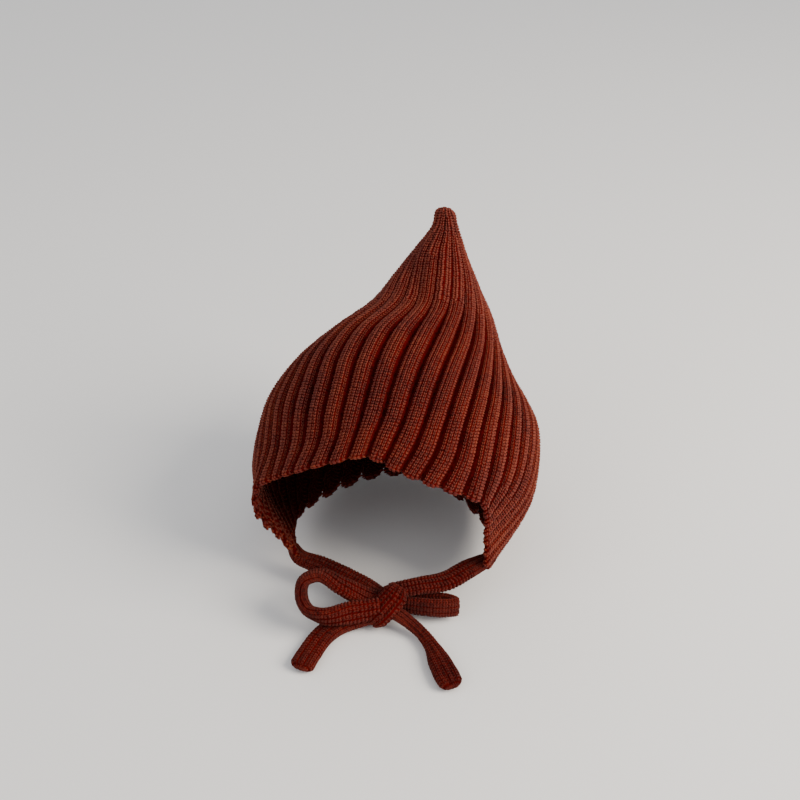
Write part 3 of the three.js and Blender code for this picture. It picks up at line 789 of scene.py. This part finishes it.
def wool(name, deep, mid, bright, highlight_colour=None):
    """Knitted wool yarn: matt, unevenly dyed, with a painted highlight that makes the top of each strand
    paler, as if light caught its fuzz.
    """
    # The dye changes from strand to strand, every 1.4 mm, and in soft clouds of 22 mm. The fibres
    # of the yarn are too fine to draw, so they are coarser here: a grain of 0.3 mm.
    material, tree, shader = new_material(name)
    coords = node(tree, "ShaderNodeTexCoord").outputs["Object"]
    strand = node(tree, "ShaderNodeTexNoise", Vector=coords, Scale=700.0, Detail=2.0).outputs["Fac"]
    cloud = node(tree, "ShaderNodeTexNoise", Vector=coords, Scale=45.0, Detail=3.0).outputs["Fac"]
    fine = node(tree, "ShaderNodeMath", {"operation": "MULTIPLY"}, _0=strand, _1=0.6).outputs[0]
    dye = node(tree, "ShaderNodeMath", {"operation": "MULTIPLY_ADD"}, _0=cloud, _1=0.45, _2=fine)
    ramp = node(tree, "ShaderNodeValToRGB", Fac=dye.outputs[0])
    ramp.color_ramp.elements[0].position = 0.38
    ramp.color_ramp.elements[0].color = linear(deep)
    ramp.color_ramp.elements[1].position = 0.66
    ramp.color_ramp.elements[1].color = linear(bright)
    ramp.color_ramp.elements.new(0.52).color = linear(mid)
    fibres = node(tree, "ShaderNodeTexNoise", Vector=coords, Scale=3500.0, Detail=2.0)
    bump = node(tree, "ShaderNodeBump", Strength=0.35, Distance=0.0002, Height=fibres.outputs["Fac"])
    colour = ramp.outputs["Color"]
    if highlight_colour:
        # Painted highlight: the highlight colour is laid over the tops of the strands
        top = node(tree, "ShaderNodeAttribute", {"attribute_name": "painted_highlight"}).outputs["Fac"]
        highlight_mask = node(tree, "ShaderNodeMath", {"operation": "MULTIPLY"}, _0=top, _1=strand).outputs[0]
        mix = node(tree, "ShaderNodeMix", {"data_type": "RGBA"}, _0=highlight_mask, _6=colour, _7=linear(highlight_colour))
        colour = mix.outputs[2]
    tree.links.new(colour, shader.inputs["Base Color"])
    tree.links.new(bump.outputs["Normal"], shader.inputs["Normal"])
    shader.inputs["Roughness"].default_value = 0.92
    shader.inputs["Specular IOR Level"].default_value = 0.08 if highlight_colour else 0.02
    shader.inputs["Sheen Weight"].default_value = 0.12 if highlight_colour else 0.0
    shader.inputs["Sheen Roughness"].default_value = 0.5
    shader.inputs["Sheen Tint"].default_value = linear("e0a898")
    return material


def table_paint():
    """Matt white paint with a fine grain of 1 mm, which shows no reflections, only soft shadows."""
    material, tree, shader = new_material("matt_white_paint")
    coords = node(tree, "ShaderNodeTexCoord").outputs["Object"]
    grain = node(tree, "ShaderNodeTexNoise", Vector=coords, Scale=900.0, Detail=3.0)
    bump = node(tree, "ShaderNodeBump", Strength=0.05, Distance=0.0003, Height=grain.outputs["Fac"])
    tree.links.new(bump.outputs["Normal"], shader.inputs["Normal"])
    shader.inputs["Base Color"].default_value = linear("efedea")
    shader.inputs["Roughness"].default_value = 0.6
    return material


# The studio

def add_floor():
    half = 6.0
    low = metres([0, 0, 0])[2]
    corners = [(-half, -half, low), (half, -half, low), (half, half, low), (-half, half, low)]
    mesh = bpy.data.meshes.new("table_top")
    mesh.from_pydata(corners, [], [(0, 1, 2, 3)])
    mesh.materials.append(table_paint())
    floor = bpy.data.objects.new("table_top", mesh)
    bpy.context.scene.collection.objects.link(floor)


def add_light(name, place, size, power, colour):
    light = bpy.data.lights.new(name, "AREA")
    light.size = size
    light.energy = power
    light.color = linear(colour)[:3]
    lamp = bpy.data.objects.new(name, light)
    bpy.context.scene.collection.objects.link(lamp)
    lamp.location = place
    towards_hat = Vector((0, 0, -0.05)) - lamp.location
    lamp.rotation_euler = towards_hat.to_track_quat("-Z", "Y").to_euler()


def add_studio():
    add_floor()
    add_light("window", (1.0, -0.18, 0.68), 0.7, 22.5, "fff6ea")
    add_light("fill", (-0.8, -1.0, 0.7), 1.0, 4.0, "f6f6fa")
    world = bpy.data.worlds.new("soft_room")
    world.use_nodes = True
    world.node_tree.nodes["Background"].inputs["Color"].default_value = linear("e4e6ea")
    world.node_tree.nodes["Background"].inputs["Strength"].default_value = 0.97
    bpy.context.scene.world = world


add_camera()
# Plain knit of the ties: small close stitches, redder than the ribs and a little darker, the darkness partly
# the yarn's own and partly painted shade
tie_wool_with_shade = wool("rust_wool_plain_knit_with_shade", "340504", "4c0e08", "601d12", highlight_colour="8a5347")
# Rib knit of the crown: full stitches with a painted highlight that turns their tops rust and tan
rib_wool = wool("rust_wool_rib_knit", "44060e", "61150d", "752b10", highlight_colour="8b5446")
# The same wool on the inside, darkened to a dull dark brown: painted shade for the hat's own shade
shaded_inside_wool = wool("rust_wool_inside_painted_shade", "300603", "4b0f07", "5a1c10", highlight_colour="6c3a2e")
# Yarn down between the stitches, and the wall and tie tubes under them: painted shade, deep red-black, which
# parts each stitch from the next
shade_ground_wool = wool("rust_wool_painted_shade_ground", "2c0302", "480503", "560805")
bow_knot = knot([shade_ground_wool, tie_wool_with_shade])
tie(
    "tie_left", [(sewn_in(STRAP_LEFT, (-46.4, 26.2, 18.6)), UP), (LOOP_RIGHT, UP), (TAIL_LEFT, UP)],
    ["tie_strap_left", "bow_loop_right", "tie_tail_left"], [shade_ground_wool, tie_wool_with_shade],
)
tie(
    "tie_right", [(sewn_in(STRAP_RIGHT, (55.6, 35.6, 19.8)), UP), (LOOP_LEFT, BOW_FACE), (TAIL_RIGHT, UP)],
    ["tie_strap_right", "bow_loop_left", "tie_tail_right"], [shade_ground_wool, tie_wool_with_shade],
)
# The wall takes the ground wool of painted shade
wall = hat_wall(shade_ground_wool)
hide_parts("hat_body")
knitting = [
    rib_stitches("stitches_front_right", 0, 12, rib_wool),
    rib_stitches("stitches_back_right", 12, 23, rib_wool),
    rib_stitches("stitches_back_left", 23, 34, rib_wool),
    rib_stitches("stitches_front_left", 34, 46, rib_wool),
    inside_stitches("inside_stitches_right", 0, 23, shaded_inside_wool),
    inside_stitches("inside_stitches_left", 23, 46, shaded_inside_wool),
    edge_stitches(rib_wool),
]
add_studio()
